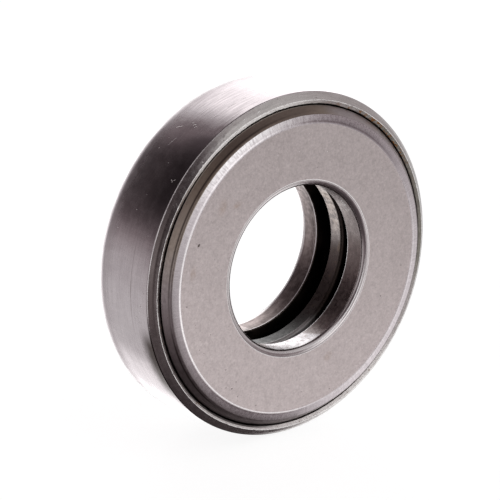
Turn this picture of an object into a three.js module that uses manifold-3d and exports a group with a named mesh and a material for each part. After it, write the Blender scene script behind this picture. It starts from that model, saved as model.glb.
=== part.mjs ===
// Banded single-direction thrust ball bearing, standing on its rim.
//
// Millimetres, +Z up. The bearing's axis is Y and the origin is the centre of the whole bearing.
// The shaft washer, which turns, faces -Y. The housing washer and its pressed band face +Y.
// Depths are measured along the axis from the shaft washer's flat face towards +Y.

import * as THREE from 'three';
import { mergeVertices } from 'three/addons/utils/BufferGeometryUtils.js';
import Module from 'manifold-3d';

// Whole bearing
const TOTAL_HEIGHT = 15.875;
const SHAFT_BORE_RADIUS = 12.7;
const HOUSING_BORE_RADIUS = 12.95;
const BAND_OUTER_RADIUS = 26.56;

// Balls and raceways
const BALL_COUNT = 11;
const BALL_RADIUS = 9.525 / 2;
const PITCH_RADIUS = 19.0;
const BALL_PLANE_DEPTH = 7.75;
const RACEWAY_RADIUS = BALL_RADIUS * 1.08;
const RACEWAY_CLEARANCE = 0.08;

// Shaft washer
const SHAFT_WASHER_THICKNESS = 4.0;
const SHAFT_FACE_OUTER_RADIUS = 22.4;
const SHAFT_OUTER_RADIUS = 24.6;
const SHALLOW_CHAMFER_RADIUS = 23.69;
const SHALLOW_CHAMFER_DEPTH = 0.36;
const STEEP_CHAMFER_DEPTH = 1.6;
const SHOULDER_RADIUS = 25.2;
const SHOULDER_DEPTH = 3.25;

// Housing washer
const HOUSING_WASHER_DEPTH = 11.35;
const HOUSING_OUTER_RADIUS = 25.25;
const HOUSING_REBATE_DEPTH = 14.2;
const HOUSING_REBATE_RADIUS = 23.0;
const HOUSING_CORNER_RADIUS = 1.6;
const SEAT_CHAMFER = 0.45;

// Rounded bore entries and broken edges
const ENTRY_WIDTH = 1.03;
const ENTRY_DEPTH = 0.8;
const EDGE_BREAK = 0.15;
const RIM_BREAK = 0.3;

// Pressed steel band
const BAND_SHEET = 1.0;
const CREASE_DEPTH = 2.46;
const CREASE_BEND_RADIUS = 0.6;
const LIP_EDGE_RADIUS = 25.43;
const LIP_EDGE_DEPTH = 1.42;
const LIP_CUT_RADIUS = 24.95;
const LIP_CUT_DEPTH = 1.64;
const BAND_BACK_DEPTH = 15.6;
const BAND_BACK_EDGE_RADIUS = 23.3;
const BAND_CORNER_RADIUS = 3.0;

// Pressed steel cage, a ring-shaped channel with one round pocket for each ball
const CAGE_SHEET = 0.6;
const CAGE_INNER_RADIUS = 13.5;
const CAGE_OUTER_RADIUS = 24.5;
const CAGE_FRONT_DEPTH = 5.98;
const CAGE_BACK_DEPTH = 8.82;
const CAGE_BEND_RADIUS = 0.45;
const POCKET_RADIUS = 4.78;

// Fineness of the faceted surfaces
const RING_SEGMENTS = 60;
const BALL_SEGMENTS = 16;
const BALL_RINGS = 10;
const RACEWAY_STEPS = 8;
const CORNER_STEPS = 3;
const POCKET_SEGMENTS = 24;

const wasm = await Module();
wasm.setup();

// A profile point from its radius and its depth behind the shaft washer's face.
function at(radius, depth) {
  return new THREE.Vector2(radius, depth - TOTAL_HEIGHT / 2);
}

// Points along an elliptical arc in the profile plane, both ends included.
function arc(centreRadius, centreDepth, width, height, from, to, steps) {
  const points = [];
  for (let i = 0; i <= steps; i++) {
    const angle = THREE.MathUtils.degToRad(from + ((to - from) * i) / steps);
    const radius = centreRadius + width * Math.cos(angle);
    const depth = centreDepth + height * Math.sin(angle);
    points.push(at(radius, depth));
  }
  return points;
}

function roundArc(centreRadius, centreDepth, radius, from, to, steps) {
  return arc(centreRadius, centreDepth, radius, radius, from, to, steps);
}

// A ring turned about Y. The profile runs anticlockwise with radius to the right and depth upwards.
function turnedRing(profile) {
  const closed = [...profile, profile[0]];
  return new THREE.LatheGeometry(closed, RING_SEGMENTS);
}

// The raceway is an arc a little wider than the ball, in the washer face that lies toward the balls.
// side is -1 for the shaft washer's groove and +1 for the housing washer's groove.
function raceway(side, faceDepth) {
  const bottom = BALL_PLANE_DEPTH + side * (BALL_RADIUS + RACEWAY_CLEARANCE);
  const centreDepth = bottom - side * RACEWAY_RADIUS;
  const rise = Math.abs(faceDepth - centreDepth);
  const edge = THREE.MathUtils.radToDeg(Math.asin(rise / RACEWAY_RADIUS));
  const from = side < 0 ? -edge : 180 - edge;
  const to = side < 0 ? edge - 180 : edge;
  return roundArc(PITCH_RADIUS, centreDepth, RACEWAY_RADIUS, from, to, RACEWAY_STEPS);
}

function shaftWasher() {
  const boreEntryRadius = SHAFT_BORE_RADIUS + ENTRY_WIDTH;
  return turnedRing([
    ...arc(boreEntryRadius, ENTRY_DEPTH, ENTRY_WIDTH, ENTRY_DEPTH, 180, 270, CORNER_STEPS),
    at(SHAFT_FACE_OUTER_RADIUS, 0),
    at(SHALLOW_CHAMFER_RADIUS, SHALLOW_CHAMFER_DEPTH),
    at(SHAFT_OUTER_RADIUS, STEEP_CHAMFER_DEPTH),
    at(SHAFT_OUTER_RADIUS, SHOULDER_DEPTH - RIM_BREAK),
    at(SHOULDER_RADIUS, SHOULDER_DEPTH),
    at(SHOULDER_RADIUS, SHAFT_WASHER_THICKNESS - EDGE_BREAK),
    at(SHOULDER_RADIUS - EDGE_BREAK, SHAFT_WASHER_THICKNESS),
    ...raceway(-1, SHAFT_WASHER_THICKNESS),
    at(SHAFT_BORE_RADIUS + EDGE_BREAK, SHAFT_WASHER_THICKNESS),
    at(SHAFT_BORE_RADIUS, SHAFT_WASHER_THICKNESS - EDGE_BREAK),
  ]);
}

function housingWasher() {
  const boreEntryRadius = HOUSING_BORE_RADIUS + ENTRY_WIDTH;
  const entryCentreDepth = TOTAL_HEIGHT - ENTRY_DEPTH;
  const cornerRadius = HOUSING_OUTER_RADIUS - HOUSING_CORNER_RADIUS;
  const cornerDepth = HOUSING_REBATE_DEPTH - HOUSING_CORNER_RADIUS;
  return turnedRing([
    at(HOUSING_BORE_RADIUS + EDGE_BREAK, HOUSING_WASHER_DEPTH),
    ...raceway(1, HOUSING_WASHER_DEPTH),
    at(HOUSING_OUTER_RADIUS - RIM_BREAK, HOUSING_WASHER_DEPTH),
    at(HOUSING_OUTER_RADIUS, HOUSING_WASHER_DEPTH + RIM_BREAK),
    ...roundArc(cornerRadius, cornerDepth, HOUSING_CORNER_RADIUS, 0, 90, CORNER_STEPS),
    at(HOUSING_REBATE_RADIUS, HOUSING_REBATE_DEPTH),
    at(HOUSING_REBATE_RADIUS, TOTAL_HEIGHT - SEAT_CHAMFER),
    at(HOUSING_REBATE_RADIUS - SEAT_CHAMFER, TOTAL_HEIGHT),
    ...arc(boreEntryRadius, entryCentreDepth, ENTRY_WIDTH, ENTRY_DEPTH, 90, 180, CORNER_STEPS),
    at(HOUSING_BORE_RADIUS, HOUSING_WASHER_DEPTH + EDGE_BREAK),
  ]);
}

// The band is one bent sheet: a lip crimped inward over the shaft washer's shoulder, a straight
// wall, and a rounded corner rolled over the housing washer's rebate. The lip's cut edge is two
// faces, a slanting one in front and one beside the washer's rim.
function band() {
  const innerRadius = BAND_OUTER_RADIUS - BAND_SHEET;
  const lipReach = BAND_OUTER_RADIUS - LIP_EDGE_RADIUS;
  const lipRise = CREASE_DEPTH - LIP_EDGE_DEPTH;
  const lipAngle = Math.atan2(lipReach, lipRise);
  const lipSlope = lipRise / lipReach;
  const outerLineDepth = LIP_EDGE_DEPTH - (LIP_EDGE_RADIUS - LIP_CUT_RADIUS) * lipSlope;
  const lipInnerDepth = outerLineDepth + BAND_SHEET / Math.sin(lipAngle);
  const innerCreaseDepth = lipInnerDepth + (innerRadius - LIP_CUT_RADIUS) * lipSlope;
  const bendCentreDepth = CREASE_DEPTH + CREASE_BEND_RADIUS * Math.tan(lipAngle / 2);
  const bendCentreRadius = BAND_OUTER_RADIUS - CREASE_BEND_RADIUS;
  const bendStart = -THREE.MathUtils.radToDeg(lipAngle);
  const cornerCentreRadius = BAND_OUTER_RADIUS - BAND_CORNER_RADIUS;
  const cornerCentreDepth = BAND_BACK_DEPTH - BAND_CORNER_RADIUS;
  const innerCornerRadius = BAND_CORNER_RADIUS - BAND_SHEET;
  return turnedRing([
    at(LIP_EDGE_RADIUS, LIP_EDGE_DEPTH),
    ...roundArc(bendCentreRadius, bendCentreDepth, CREASE_BEND_RADIUS, bendStart, 0, 2),
    ...roundArc(cornerCentreRadius, cornerCentreDepth, BAND_CORNER_RADIUS, 0, 90, 4),
    at(BAND_BACK_EDGE_RADIUS, BAND_BACK_DEPTH),
    at(BAND_BACK_EDGE_RADIUS, BAND_BACK_DEPTH - BAND_SHEET),
    ...roundArc(cornerCentreRadius, cornerCentreDepth, innerCornerRadius, 90, 0, CORNER_STEPS),
    at(innerRadius, innerCreaseDepth),
    at(LIP_CUT_RADIUS, lipInnerDepth),
    at(LIP_CUT_RADIUS, LIP_CUT_DEPTH),
  ]);
}

function cageChannel() {
  const innerBend = CAGE_INNER_RADIUS + CAGE_BEND_RADIUS;
  const outerBend = CAGE_OUTER_RADIUS - CAGE_BEND_RADIUS;
  const bendDepth = CAGE_FRONT_DEPTH + CAGE_BEND_RADIUS;
  return turnedRing([
    ...roundArc(innerBend, bendDepth, CAGE_BEND_RADIUS, 180, 270, CORNER_STEPS),
    ...roundArc(outerBend, bendDepth, CAGE_BEND_RADIUS, 270, 360, CORNER_STEPS),
    at(CAGE_OUTER_RADIUS, CAGE_BACK_DEPTH),
    at(CAGE_OUTER_RADIUS - CAGE_SHEET, CAGE_BACK_DEPTH),
    at(CAGE_OUTER_RADIUS - CAGE_SHEET, CAGE_FRONT_DEPTH + CAGE_SHEET),
    at(CAGE_INNER_RADIUS + CAGE_SHEET, CAGE_FRONT_DEPTH + CAGE_SHEET),
    at(CAGE_INNER_RADIUS + CAGE_SHEET, CAGE_BACK_DEPTH),
    at(CAGE_INNER_RADIUS, CAGE_BACK_DEPTH),
  ]);
}

// The centre of ball number i on the pitch circle. Ball 0 is straight above the axis.
function ballCentre(i) {
  const angle = (2 * Math.PI * i) / BALL_COUNT;
  const x = PITCH_RADIUS * Math.sin(angle);
  const z = PITCH_RADIUS * Math.cos(angle);
  return new THREE.Vector3(x, BALL_PLANE_DEPTH - TOTAL_HEIGHT / 2, z);
}

function pocket(i) {
  const height = 4 * CAGE_SHEET;
  const geometry = new THREE.CylinderGeometry(POCKET_RADIUS, POCKET_RADIUS, height, POCKET_SEGMENTS);
  const centre = ballCentre(i);
  const webDepth = CAGE_FRONT_DEPTH + CAGE_SHEET / 2;
  return geometry.translate(centre.x, webDepth - TOTAL_HEIGHT / 2, centre.z);
}

function toManifold(geometry) {
  const bare = geometry.clone();
  bare.deleteAttribute('normal');
  bare.deleteAttribute('uv');
  const merged = mergeVertices(bare);
  const vertProperties = new Float32Array(merged.attributes.position.array);
  const triVerts = new Uint32Array(merged.index.array);
  return new wasm.Manifold(new wasm.Mesh({ numProp: 3, vertProperties, triVerts }));
}

function toGeometry(solid) {
  const mesh = solid.getMesh();
  const geometry = new THREE.BufferGeometry();
  geometry.setAttribute('position', new THREE.BufferAttribute(mesh.vertProperties, 3));
  geometry.setIndex(new THREE.BufferAttribute(mesh.triVerts, 1));
  geometry.computeVertexNormals();
  return geometry;
}

function cage() {
  let solid = toManifold(cageChannel());
  for (let i = 0; i < BALL_COUNT; i++) {
    solid = solid.subtract(toManifold(pocket(i)));
  }
  return toGeometry(solid);
}

function steel(color, roughness, metalness) {
  return new THREE.MeshStandardMaterial({ color, roughness, metalness });
}

const FACE_STEEL = steel(0xa89f9c, 0.55, 0.9);
const BAND_STEEL = steel(0x6f676a, 0.35, 1.0);
const CAGE_STEEL = steel(0x9c9896, 0.42, 1.0);
const BALL_STEEL = steel(0xc4c4c6, 0.12, 1.0);

const bearing = new THREE.Group();

function addPiece(name, geometry, material) {
  const piece = new THREE.Mesh(geometry, material);
  piece.name = name;
  bearing.add(piece);
  return piece;
}

addPiece('shell_band', band(), BAND_STEEL);
addPiece('shaft_washer', shaftWasher(), FACE_STEEL);
addPiece('housing_washer', housingWasher(), FACE_STEEL);
addPiece('ball_cage', cage(), CAGE_STEEL);

for (let i = 0; i < BALL_COUNT; i++) {
  const number = String(i + 1).padStart(2, '0');
  const geometry = new THREE.SphereGeometry(BALL_RADIUS, BALL_SEGMENTS, BALL_RINGS);
  const ball = addPiece(`ball_${number}`, geometry, BALL_STEEL);
  ball.position.copy(ballCentre(i));
}

export default bearing;
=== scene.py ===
import math

import bmesh
import bpy
import numpy as np
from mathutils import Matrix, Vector, noise


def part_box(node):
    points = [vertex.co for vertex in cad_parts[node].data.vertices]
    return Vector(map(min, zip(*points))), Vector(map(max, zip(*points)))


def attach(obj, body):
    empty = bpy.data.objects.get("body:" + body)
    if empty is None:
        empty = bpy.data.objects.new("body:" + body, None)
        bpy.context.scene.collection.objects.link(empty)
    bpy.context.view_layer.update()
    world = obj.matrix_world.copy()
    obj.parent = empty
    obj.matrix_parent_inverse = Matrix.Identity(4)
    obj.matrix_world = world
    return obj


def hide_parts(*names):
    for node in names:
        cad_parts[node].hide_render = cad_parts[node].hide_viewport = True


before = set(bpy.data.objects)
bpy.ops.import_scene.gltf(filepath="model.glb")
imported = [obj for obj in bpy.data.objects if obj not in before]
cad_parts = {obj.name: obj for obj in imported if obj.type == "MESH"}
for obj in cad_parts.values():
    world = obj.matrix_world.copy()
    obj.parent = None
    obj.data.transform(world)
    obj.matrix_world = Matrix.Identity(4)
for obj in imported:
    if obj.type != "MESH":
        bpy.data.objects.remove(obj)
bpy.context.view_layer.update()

# ---------------------------------------------------------------------------------------------
# Sizes. Profiles are in millimetres: a radius from the bearing's axis (Y) and a depth behind the
# shaft washer's flat face. Meshes are in metres, as the frame is.
# ---------------------------------------------------------------------------------------------
MM = 0.001
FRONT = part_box("shaft_washer")[0].y


def radius_of(node):
    """A node's outer radius, in millimetres."""
    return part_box(node)[1].z / MM


def depth_of(node, corner):
    """The depth of a node's front (corner 0) or back (corner 1), in millimetres."""
    return (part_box(node)[corner].y - FRONT) / MM


# Shaft washer, the ring in front that turns
SHAFT_BORE = 12.7
SHAFT_BACK = depth_of("shaft_washer", 1)
SHAFT_FACE_RADIUS = 22.4
SHAFT_RIM = 24.6
SHAFT_SHOULDER = radius_of("shaft_washer")
SHOULDER_DEPTH = 3.25
SHALLOW_CHAMFER = (23.69, 0.36)
STEEP_CHAMFER_DEPTH = 1.6

# Housing washer, the ring at the back
HOUSING_BORE = 12.95
HOUSING_FRONT = depth_of("housing_washer", 0)
HOUSING_BACK = depth_of("housing_washer", 1)
HOUSING_RIM = radius_of("housing_washer")
REBATE = (23.0, 14.2)
SEAT_CHAMFER = 0.45

# Rounded bore entries
ENTRY_WIDTH = 1.03
ENTRY_DEPTH = 0.8
REAR_ENTRY_WIDTH = 1.3
REAR_ENTRY_DEPTH = 1.6

# Pressed band
BAND_RADIUS = radius_of("shell_band")
BAND_SHEET = 1.0
BAND_BACK = depth_of("shell_band", 1)
BAND_BACK_EDGE = 23.3
BAND_CORNER = 3.0
CREASE_DEPTH = 2.46
CREASE_BEND = 0.35
LIP_EDGE = (25.43, 1.42)
LIP_CROWN = (26.0, 1.86)
LIP_CUT = (24.85, 1.60)
WALL_SWELL = 0.02  # how much narrower the wall is at the crease than further back
WALL_LINE = 6.3  # depth of a faint line rolled into the wall

# Pressed cage
CAGE_INNER = 13.5
CAGE_OUTER = radius_of("ball_cage")
CAGE_FRONT = depth_of("ball_cage", 0)
CAGE_BACK = depth_of("ball_cage", 1)
CAGE_SHEET = 0.6
CAGE_BEND = 0.55
POCKET_RADIUS = 4.78

# Balls
BALLS = sorted(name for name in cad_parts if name.startswith("ball_") and name != "ball_cage")
BALL_LOW, BALL_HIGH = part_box(BALLS[0])
BALL_RADIUS = (BALL_HIGH.z - BALL_LOW.z) / 2 / MM
BALL_PLANE = ((BALL_LOW.y + BALL_HIGH.y) / 2 - FRONT) / MM
PITCH_RADIUS = (BALL_LOW.z + BALL_HIGH.z) / 2 / MM
RACEWAY_RADIUS = BALL_RADIUS * 1.08
RACEWAY_CLEARANCE = 0.08

SUPPORT = 0.03  # how far a supporting edge loop lies from a rounded corner
ROOM_SHARE = 0.45  # the most of a side's length that one rounding takes
SAME_POINT = 1e-5

# ---------------------------------------------------------------------------------------------
# Turned shapes
# ---------------------------------------------------------------------------------------------


def corner(radius, depth, rounding, zone):
    """A profile corner, its rounding radius, and the finish of the stretch that follows it."""
    return {"at": np.array([radius, depth], float), "rounding": rounding, "zone": zone}


def oval(centre, width, height, start, end, steps, zone):
    """Profile corners along an oval, angles in degrees, radius to the right and depth upwards."""
    corners = []
    for i in range(steps + 1):
        a = math.radians(start + (end - start) * i / steps)
        corners.append(corner(centre[0] + width * math.cos(a), centre[1] + height * math.sin(a), 0, zone))
    return corners


def arc(centre, radius, start, end, steps, zone):
    return oval(centre, radius, radius, start, end, steps, zone)


def rounded(corners, steps=5):
    """The profile's points with its corners rounded, and the finish of the stretch after each."""
    points, zones = [], []

    def put(point, zone):
        if points and np.linalg.norm(points[-1] - point) < SAME_POINT:
            zones[-1] = zone
            return
        points.append(point)
        zones.append(zone)

    count = len(corners)
    for i, here in enumerate(corners):
        before, after = corners[i - 1], corners[(i + 1) % count]
        to_here = here["at"] - before["at"]
        onward = after["at"] - here["at"]
        room = min(np.linalg.norm(to_here), np.linalg.norm(onward))
        d_in = to_here / np.linalg.norm(to_here)
        d_out = onward / np.linalg.norm(onward)
        turn = math.atan2(d_in[0] * d_out[1] - d_in[1] * d_out[0], float(d_in @ d_out))
        if here["rounding"] == 0 or abs(turn) < 0.01:
            put(here["at"], here["zone"])
            continue
        reach = min(here["rounding"] * math.tan(abs(turn) / 2), room * ROOM_SHARE)
        radius = reach / math.tan(abs(turn) / 2)
        side = math.copysign(1, turn)
        inward = np.array([-d_in[1], d_in[0]]) * side
        centre = here["at"] - d_in * reach + inward * radius
        put(here["at"] - d_in * (reach + SUPPORT), before["zone"])
        for k in range(steps + 1):
            cos, sin = math.cos(turn * k / steps), math.sin(turn * k / steps)
            spoke = np.array([inward[1] * sin - inward[0] * cos, -inward[0] * sin - inward[1] * cos])
            put(centre + spoke * radius, here["zone"])
        put(here["at"] + d_out * (reach + SUPPORT), here["zone"])
    return points, zones


def turned(name, points, zones, finishes, segments, wobble=None):
    """A ring turned about Y from a closed anticlockwise profile. finishes maps a zone to a material.
    wobble(radius, depth, angle) may move a point a little: it returns the new radius and depth."""
    count = len(points)
    verts = np.zeros((segments, count, 3))
    for s in range(segments):
        angle = 2 * math.pi * s / segments
        for p, (radius, depth) in enumerate(points):
            if wobble:
                radius, depth = wobble(radius, depth, angle)
            verts[s, p] = (radius * math.sin(angle), depth, radius * math.cos(angle))
    verts *= MM
    verts[:, :, 1] += FRONT
    faces, slots = [], []
    order = list(finishes)
    for s in range(segments):
        n = (s + 1) % segments
        for p in range(count):
            q = (p + 1) % count
            faces.append((s * count + p, n * count + p, n * count + q, s * count + q))
            slots.append(order.index(zones[p]))
    mesh = bpy.data.meshes.new(name)
    mesh.from_pydata(verts.reshape(-1, 3).tolist(), [], faces)
    for zone in order:
        mesh.materials.append(finishes[zone])
    mesh.polygons.foreach_set("material_index", slots)
    mesh.polygons.foreach_set("use_smooth", [True] * len(faces))
    mesh.update()
    piece = bpy.data.objects.new(name, mesh)
    bpy.context.scene.collection.objects.link(piece)
    return piece


# ---------------------------------------------------------------------------------------------
# Profiles
# ---------------------------------------------------------------------------------------------


def raceway(side, face_depth):
    """The ball groove. side is -1 for the shaft washer's groove and +1 for the housing washer's."""
    bottom = BALL_PLANE + side * (BALL_RADIUS + RACEWAY_CLEARANCE)
    centre = (PITCH_RADIUS, bottom - side * RACEWAY_RADIUS)
    edge = math.degrees(math.asin(abs(face_depth - centre[1]) / RACEWAY_RADIUS))
    if side < 0:
        return arc(centre, RACEWAY_RADIUS, -edge, edge - 180, 28, "raceway")
    return arc(centre, RACEWAY_RADIUS, 180 - edge, edge, 28, "raceway")


def shaft_washer_profile():
    entry = SHAFT_BORE + ENTRY_WIDTH
    groove = raceway(-1, SHAFT_BACK)
    groove[-1]["zone"] = "ground"
    return [
        *oval((entry, ENTRY_DEPTH), ENTRY_WIDTH, ENTRY_DEPTH, 180, 268, 14, "entry"),
        corner(entry + 0.02, 0, 0.04, "face"),
        corner(SHAFT_FACE_RADIUS, 0, 1.5, "chamfer"),
        corner(*SHALLOW_CHAMFER, 0.5, "rim"),
        corner(SHAFT_RIM, STEEP_CHAMFER_DEPTH, 0.25, "rim"),
        corner(SHAFT_RIM, SHOULDER_DEPTH - 0.3, 0.25, "rim"),
        corner(SHAFT_SHOULDER, SHOULDER_DEPTH, 0.15, "rim"),
        corner(SHAFT_SHOULDER, SHAFT_BACK, 0.2, "ground"),
        *groove,
        corner(SHAFT_BORE, SHAFT_BACK, 0.14, "bore"),
    ]


def housing_washer_profile():
    entry = HOUSING_BORE + REAR_ENTRY_WIDTH
    entry_depth = HOUSING_BACK - REAR_ENTRY_DEPTH
    groove = raceway(1, HOUSING_FRONT)
    groove[-1]["zone"] = "ground"
    return [
        corner(HOUSING_BORE, HOUSING_FRONT, 0.14, "ground"),
        *groove,
        corner(HOUSING_RIM, HOUSING_FRONT, 0.3, "rim"),
        corner(HOUSING_RIM, REBATE[1], 1.6, "rim"),
        corner(REBATE[0], REBATE[1], 0.15, "rim"),
        corner(REBATE[0], HOUSING_BACK - SEAT_CHAMFER, 0.15, "chamfer"),
        corner(REBATE[0] - SEAT_CHAMFER, HOUSING_BACK, 0.2, "face"),
        *oval((entry, entry_depth), REAR_ENTRY_WIDTH, REAR_ENTRY_DEPTH, 90, 178, 14, "entry"),
        corner(HOUSING_BORE, entry_depth, 0, "bore"),
    ]


def band_profile():
    """The lip rises in a straight slope from its edge to the crease, one sheet thick."""
    inner = BAND_RADIUS - BAND_SHEET
    roll = (BAND_RADIUS - BAND_CORNER, BAND_BACK - BAND_CORNER)
    slope = (CREASE_DEPTH - LIP_EDGE[1]) / (BAND_RADIUS - LIP_EDGE[0])
    outer_line = LIP_EDGE[1] - (LIP_EDGE[0] - LIP_CUT[0]) * slope
    inner_edge_depth = outer_line + BAND_SHEET * math.sqrt(1 + slope ** 2)
    inner_crease = inner_edge_depth + (inner - LIP_CUT[0]) * slope
    return [
        corner(*LIP_EDGE, 0.12, "lip"),
        corner(*LIP_CROWN, 1.2, "lip"),
        corner(BAND_RADIUS - WALL_SWELL, CREASE_DEPTH, CREASE_BEND, "wall"),
        corner(BAND_RADIUS - WALL_SWELL * 0.15, CREASE_DEPTH + 1.0, 4.0, "wall"),
        corner(BAND_RADIUS, CREASE_DEPTH + 2.0, 8.0, "wall"),
        *arc(roll, BAND_CORNER, 0, 90, 16, "wall"),
        corner(BAND_BACK_EDGE, BAND_BACK, 0.15, "cut"),
        corner(BAND_BACK_EDGE, BAND_BACK - BAND_SHEET, 0.1, "inside"),
        *arc(roll, BAND_CORNER - BAND_SHEET, 90, 0, 8, "inside"),
        corner(inner, inner_crease, 0.2, "inside"),
        corner(LIP_CUT[0], inner_edge_depth, 0.1, "cut"),
        corner(*LIP_CUT, 0.08, "cut"),
    ]


def cage_profile():
    return [
        corner(CAGE_INNER, CAGE_FRONT, CAGE_BEND, "cage"),
        corner(CAGE_OUTER, CAGE_FRONT, CAGE_BEND, "cage"),
        corner(CAGE_OUTER, CAGE_BACK, 0.12, "cage"),
        corner(CAGE_OUTER - CAGE_SHEET, CAGE_BACK, 0.12, "cage"),
        corner(CAGE_OUTER - CAGE_SHEET, CAGE_FRONT + CAGE_SHEET, 0.1, "cage"),
        corner(CAGE_INNER + CAGE_SHEET, CAGE_FRONT + CAGE_SHEET, 0.1, "cage"),
        corner(CAGE_INNER + CAGE_SHEET, CAGE_BACK, 0.12, "cage"),
        corner(CAGE_INNER, CAGE_BACK, 0.12, "cage"),
    ]


# ---------------------------------------------------------------------------------------------
# Materials
# ---------------------------------------------------------------------------------------------


class Nodes:
    """A small builder for one node tree."""

    def __init__(self, owner):
        owner.use_nodes = True
        self.tree = owner.node_tree

    def find_place(self):
        """Positions in the piece's own frame, in millimetres, and as radius, depth and angle."""
        self.place = self.node("ShaderNodeVectorMath", operation="SCALE")
        self.link(self.node("ShaderNodeTexCoord").outputs["Object"], self.place.inputs[0])
        self.link(1 / MM, self.place.inputs["Scale"])
        self.place = self.place.outputs[0]
        split = self.node("ShaderNodeSeparateXYZ")
        self.link(self.place, split.inputs[0])
        self.x, y, self.z = split.outputs
        squares = self.maths("ADD", self.times(self.x, self.x), self.times(self.z, self.z))
        self.radius = self.maths("SQRT", squares)
        self.depth = self.maths("SUBTRACT", y, FRONT / MM)
        self.angle = self.maths("ARCTAN2", self.x, self.z)

    def node(self, kind, **settings):
        made = self.tree.nodes.new(kind)
        for key, value in settings.items():
            setattr(made, key, value)
        return made

    def link(self, value, socket):
        if isinstance(value, bpy.types.NodeSocket):
            self.tree.links.new(value, socket)
        else:
            socket.default_value = value

    def maths(self, operation, a, b=0.0, c=0.0):
        made = self.node("ShaderNodeMath", operation=operation)
        for socket, value in zip(made.inputs, (a, b, c)):
            self.link(value, socket)
        return made.outputs[0]

    def times(self, a, b):
        return self.maths("MULTIPLY", a, b)

    def most(self, masks):
        """The largest of several masks."""
        largest = masks[0]
        for mask in masks[1:]:
            largest = self.maths("MAXIMUM", largest, mask)
        return largest

    def ramp(self, value, low, high, out_low=0.0, out_high=1.0):
        """value rising from low to high becomes out_low to out_high, smoothly, and stays there."""
        made = self.node("ShaderNodeMapRange", interpolation_type="SMOOTHSTEP")
        for key, number in zip(("Value", "From Min", "From Max", "To Min", "To Max"),
                               (value, low, high, out_low, out_high)):
            self.link(number, made.inputs[key])
        return made.outputs[0]

    def near(self, value, centre, reach):
        """1 where value is close to centre, falling to 0 at reach away from it."""
        away = self.maths("ABSOLUTE", self.maths("SUBTRACT", value, centre))
        return self.ramp(away, reach * 0.3, reach, 1.0, 0.0)

    def mix(self, factor, a, b):
        made = self.node("ShaderNodeMix", data_type="RGBA")
        self.link(factor, made.inputs[0])
        for value, socket in ((a, made.inputs[6]), (b, made.inputs[7])):
            self.link((*value, 1) if isinstance(value, tuple) else value, socket)
        return made.outputs[2]

    def tint(self, base, colour, mask, strength=None):
        """base turned towards colour where mask is 1, by a strength that may be a pattern too."""
        return self.mix(mask if strength is None else self.times(mask, strength), base, colour)

    def vector(self, x, y, z=0.0):
        made = self.node("ShaderNodeCombineXYZ")
        for value, socket in zip((x, y, z), made.inputs):
            self.link(value, socket)
        return made.outputs[0]

    def noise(self, scale, detail=3.0, rough=0.55, place=None):
        """Noise with about scale features in a millimetre, from 0 to 1."""
        made = self.node("ShaderNodeTexNoise")
        self.link(place or self.place, made.inputs["Vector"])
        self.link(scale, made.inputs["Scale"])
        self.link(detail, made.inputs["Detail"])
        self.link(rough, made.inputs["Roughness"])
        return made.outputs["Fac"]

    def lines_around(self, across, fine, coarse, detail=2.0):
        """Noise drawn out along the turning direction. across is the radius or the depth."""
        place = self.vector(self.times(self.x, coarse), self.times(across, fine), self.times(self.z, coarse))
        return self.noise(1.0, detail, place=place)

    def lines_across(self, across, fine, coarse, detail=2.0):
        """Noise drawn out along the radius or the depth, fine around the axis."""
        x = self.times(self.maths("DIVIDE", self.x, self.radius), fine * 25)
        z = self.times(self.maths("DIVIDE", self.z, self.radius), fine * 25)
        return self.noise(1.0, detail, place=self.vector(x, self.times(across, coarse), z))

    def specks(self, per_mm, size, share):
        """Round specks in some of the cells of a random pattern. size is in millimetres."""
        made = self.node("ShaderNodeTexVoronoi")
        self.link(self.place, made.inputs["Vector"])
        self.link(per_mm, made.inputs["Scale"])
        split = self.node("ShaderNodeSeparateColor")
        self.link(made.outputs["Color"], split.inputs[0])
        reach = self.times(split.outputs[1], size * per_mm)
        spot = self.ramp(self.maths("DIVIDE", made.outputs["Distance"], reach), 0.5, 1.0, 1.0, 0.0)
        return self.times(spot, self.maths("LESS_THAN", split.outputs[0], share))

    def mark(self, place, u, v, half_length, half_width, tilt=0.0, soft=0.6):
        """An oval mark at (u, v) in the plane of place, tilted by an angle in degrees."""
        made = self.node("ShaderNodeMapping", vector_type="TEXTURE")
        self.link(place, made.inputs["Vector"])
        self.link((u, v, 0), made.inputs["Location"])
        self.link((0, 0, math.radians(tilt)), made.inputs["Rotation"])
        self.link((half_length, half_width, 1), made.inputs["Scale"])
        length = self.node("ShaderNodeVectorMath", operation="LENGTH")
        self.link(made.outputs[0], length.inputs[0])
        return self.ramp(length.outputs["Value"], 1 - soft, 1.0, 1.0, 0.0)

    def marks(self, place, entries):
        return self.most([self.mark(place, *entry) for entry in entries])

    def from_top(self):
        """The angle from the top, the same on both sides."""
        return self.maths("ABSOLUTE", self.angle)

    def plane(self):
        """A place on a flat face: x and z."""
        return self.vector(self.x, self.z)

    def around(self):
        """A place on a flat ring: degrees from the top and the radius."""
        return self.vector(self.times(self.angle, math.degrees(1)), self.radius)

    def bump(self, height, distance, under=None):
        """A surface whose height rises by distance, in millimetres, where height goes from 0 to 1."""
        made = self.node("ShaderNodeBump")
        self.link(distance * MM, made.inputs["Distance"])
        self.link(height, made.inputs["Height"])
        if under is not None:
            self.link(under, made.inputs["Normal"])
        return made.outputs[0]


def steel(name, colour, roughness, normal, metallic=1.0):
    """Finishes a steel: each of the four may be a value or a function of the node builder."""
    material = bpy.data.materials.new(name)
    n = Nodes(material)
    n.find_place()
    shader = n.tree.nodes["Principled BSDF"]
    finish = {"Base Color": colour, "Roughness": roughness, "Normal": normal, "Metallic": metallic}
    for key, value in finish.items():
        n.link(value(n) if callable(value) else value, shader.inputs[key])
    return material


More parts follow.
